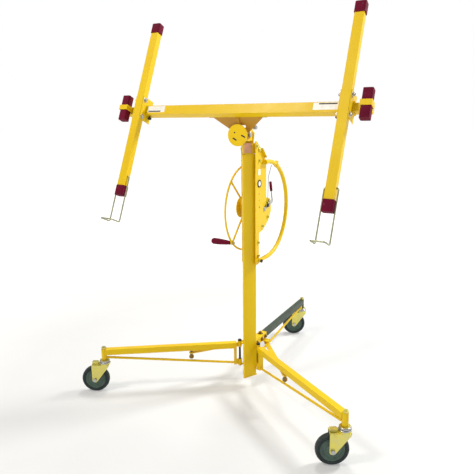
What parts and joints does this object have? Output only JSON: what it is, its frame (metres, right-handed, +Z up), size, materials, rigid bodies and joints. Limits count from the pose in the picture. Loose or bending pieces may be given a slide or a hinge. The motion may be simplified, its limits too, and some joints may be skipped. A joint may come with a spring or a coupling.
{
  "type": "drywall lift",
  "caption": "Folding tripod on casters with a telescoping triangular mast, a hand-wheel winch and a tilting cradle whose crossarms hold a plasterboard sheet overhead.",
  "frame": {"origin": "middle of the footprint's bounding box, on the floor", "axes": "+Z up along the mast; -Y is the front, where the board is loaded onto the cradle; +Y runs along the rear leg; +X is the right-hand end of the cross tube seen from the front"},
  "size_m": [1.2737, 1.1249, 1.6616],
  "materials": {
    "yellow_paint": "semi-gloss",
    "dark_paint": "semi-gloss",
    "maroon_rubber": "matt",
    "zinc": "bright zinc",
    "gold_zinc": "yellow chromate",
    "black_steel": "black oxide",
    "wheel_rubber": "matt",
    "cable_steel": "galvanised strand",
    "nylon": "matt"
  },
  "bodies": {
    "base": {"outer_mast": "yellow_paint", "mast_guide_collar": "yellow_paint", "rear_leg": "dark_paint", "rear_leg_brace": "yellow_paint", "left_hinge_bracket": "yellow_paint", "left_hinge_pin": "black_steel", "right_hinge_bracket": "yellow_paint", "right_hinge_pin": "black_steel", "winch_frame": "yellow_paint", "brake_lever_pin": "black_steel", "hand_loop": "yellow_paint", "hand_loop_bolt": "black_steel", "top_sheave_pin": "black_steel", "lift_cable": "cable_steel"},
    "left_leg": {"left_front_leg": "yellow_paint"},
    "right_leg": {"right_front_leg": "yellow_paint"},
    "left_stay_bar": {"left_stay": "yellow_paint"},
    "right_stay_bar": {"right_stay": "yellow_paint"},
    "left_stay_pull": {"left_stay_latch": "black_steel"},
    "right_stay_pull": {"right_stay_latch": "black_steel"},
    "left_swivel": {"left_front_caster_fork": "gold_zinc", "left_front_caster_axle": "zinc"},
    "right_swivel": {"right_front_caster_fork": "gold_zinc", "right_front_caster_axle": "zinc"},
    "rear_swivel": {"rear_caster_fork": "gold_zinc", "rear_caster_axle": "zinc"},
    "left_wheel": {"left_front_caster_wheel": "wheel_rubber"},
    "right_wheel": {"right_front_caster_wheel": "wheel_rubber"},
    "rear_wheel": {"rear_caster_wheel": "wheel_rubber"},
    "second_stage": {"middle_mast": "yellow_paint"},
    "third_stage": {"inner_mast": "yellow_paint", "mast_head": "yellow_paint", "side_tilt_bolt": "zinc"},
    "crank": {"winch_drum": "zinc", "winch_axle": "zinc", "winch_brake_disc": "black_steel", "crank_wheel": "yellow_paint"},
    "grip": {"crank_grip": "maroon_rubber"},
    "brake": {"brake_lever": "zinc"},
    "sheave": {"top_sheave": "nylon"},
    "head": {"tilt_head": "yellow_paint", "tilt_pin": "zinc"},
    "head_knob": {"side_tilt_knob": "yellow_paint"},
    "cradle": {"cradle_yoke": "yellow_paint", "cross_tube": "yellow_paint", "left_crossarm": "yellow_paint", "left_arm_cap_top": "maroon_rubber", "left_arm_cap_bottom": "maroon_rubber", "left_arm_bracket": "yellow_paint", "right_crossarm": "yellow_paint", "right_arm_cap_top": "maroon_rubber", "right_arm_cap_bottom": "maroon_rubber", "right_arm_bracket": "yellow_paint"},
    "cradle_latch": {"tilt_latch": "zinc"},
    "left_extension": {"left_outrigger": "yellow_paint", "left_outrigger_pad": "maroon_rubber"},
    "right_extension": {"right_outrigger": "yellow_paint", "right_outrigger_pad": "maroon_rubber"},
    "left_board_hook": {"left_hook": "zinc"},
    "right_board_hook": {"right_hook": "zinc"}
  },
  "joints": [
    {"name": "left_leg_fold", "type": "hinge", "parent": "base", "child": "left_leg", "pos_m": [-0.01342, -0.1433, 0.16], "axis": [0, 0, 1], "range_deg": [-104, 0]},
    {"name": "right_leg_fold", "type": "hinge", "parent": "base", "child": "right_leg", "pos_m": [0.08458, -0.1433, 0.16], "axis": [0, 0, 1], "range_deg": [0, 104]},
    {"name": "left_stay_swing", "type": "hinge", "parent": "base", "child": "left_stay_bar", "pos_m": [0.00658, -0.0133, 0.1675], "axis": [0, 0, 1], "range_deg": [-140, 0]},
    {"name": "right_stay_swing", "type": "hinge", "parent": "base", "child": "right_stay_bar", "pos_m": [0.06458, -0.0133, 0.1675], "axis": [0, 0, 1], "range_deg": [0, 140]},
    {"name": "left_stay_pull_down", "type": "slide", "parent": "left_stay_bar", "child": "left_stay_pull", "axis": [0, 0, -1], "range_m": [0, 0.006], "stiffness_N_per_m": 500, "springref_m": -0.006},
    {"name": "right_stay_pull_down", "type": "slide", "parent": "right_stay_bar", "child": "right_stay_pull", "axis": [0, 0, -1], "range_m": [0, 0.006], "stiffness_N_per_m": 500, "springref_m": -0.006},
    {"name": "left_caster_swivel", "type": "hinge", "parent": "left_leg", "child": "left_swivel", "pos_m": [-0.53696, -0.4991, 0.17], "axis": [0, 0, 1], "continuous": true},
    {"name": "right_caster_swivel", "type": "hinge", "parent": "right_leg", "child": "right_swivel", "pos_m": [0.60812, -0.4991, 0.17], "axis": [0, 0, 1], "continuous": true},
    {"name": "rear_caster_swivel", "type": "hinge", "parent": "base", "child": "rear_swivel", "pos_m": [0.03558, 0.5337, 0.17], "axis": [0, 0, 1], "continuous": true},
    {"name": "left_wheel_spin", "type": "hinge", "parent": "left_swivel", "child": "left_wheel", "pos_m": [-0.57651, -0.52057, 0.0635], "axis": [-0.4772, 0.8788, 0], "continuous": true},
    {"name": "right_wheel_spin", "type": "hinge", "parent": "right_swivel", "child": "right_wheel", "pos_m": [0.56857, -0.52057, 0.0635], "axis": [-0.4772, 0.8788, 0], "continuous": true},
    {"name": "rear_wheel_spin", "type": "hinge", "parent": "rear_swivel", "child": "rear_wheel", "pos_m": [-0.00397, 0.51223, 0.0635], "axis": [-0.4772, 0.8788, 0], "continuous": true},
    {"name": "mast_lift_lower", "type": "slide", "parent": "base", "child": "second_stage", "axis": [0, 0, 1], "range_m": [0, 0.92]},
    {"name": "mast_lift_upper", "type": "slide", "parent": "second_stage", "child": "third_stage", "axis": [0, 0, 1], "range_m": [0, 0.92]},
    {"name": "crank_turn", "type": "hinge", "parent": "base", "child": "crank", "pos_m": [0.03558, -0.0613, 0.842], "axis": [1, 0, 0], "range_deg": [0, 3700]},
    {"name": "sheave_turn", "type": "hinge", "parent": "base", "child": "sheave", "pos_m": [0.03558, -0.1168, 1.112], "axis": [1, 0, 0], "range_deg": [-5300, 0]},
    {"name": "grip_spin", "type": "hinge", "parent": "crank", "child": "grip", "pos_m": [-0.0778, -0.19606, 0.70245], "axis": [1, 0, 0], "continuous": true},
    {"name": "brake_release", "type": "hinge", "parent": "base", "child": "brake", "pos_m": [0.0826, -0.0463, 0.857], "axis": [1, 0, 0], "range_deg": [-15, 0], "stiffness_Nm_per_rad": 4, "springref_deg": 8.59},
    {"name": "side_tilt", "type": "hinge", "parent": "third_stage", "child": "head", "pos_m": [0.03558, -0.1533, 1.172], "axis": [0, 1, 0], "range_deg": [-10, 10]},
    {"name": "side_tilt_knob_turn", "type": "hinge", "parent": "third_stage", "child": "head_knob", "pos_m": [0.03558, -0.1333, 1.172], "axis": [0, 1, 0], "range_deg": [-180, 180]},
    {"name": "cradle_tilt", "type": "hinge", "parent": "head", "child": "cradle", "pos_m": [0.03558, -0.1933, 1.176], "axis": [1, 0, 0], "range_deg": [-66, 0]},
    {"name": "tilt_latch_pull", "type": "slide", "parent": "cradle", "child": "cradle_latch", "axis": [1, 0, 0], "range_m": [0, 0.012], "stiffness_N_per_m": 500, "springref_m": -0.006},
    {"name": "left_extension_slide", "type": "slide", "parent": "cradle", "child": "left_extension", "axis": [-1, 0, 0], "range_m": [0, 0.25]},
    {"name": "right_extension_slide", "type": "slide", "parent": "cradle", "child": "right_extension", "axis": [1, 0, 0], "range_m": [0, 0.25]},
    {"name": "left_hook_fold", "type": "hinge", "parent": "cradle", "child": "left_board_hook", "pos_m": [-0.42842, -0.40952, 1.00408], "axis": [1, 0, 0], "range_deg": [0, 95]},
    {"name": "right_hook_fold", "type": "hinge", "parent": "cradle", "child": "right_board_hook", "pos_m": [0.49958, -0.40952, 1.00408], "axis": [1, 0, 0], "range_deg": [0, 95]}
  ],
  "couplings": [
    {"joint": "mast_lift_upper", "follows": "mast_lift_lower", "ratio": 1},
    {"joint": "crank_turn", "follows": "mast_lift_lower", "rad_per_m": 69.444},
    {"joint": "sheave_turn", "follows": "mast_lift_lower", "rad_per_m": -100}
  ]
}
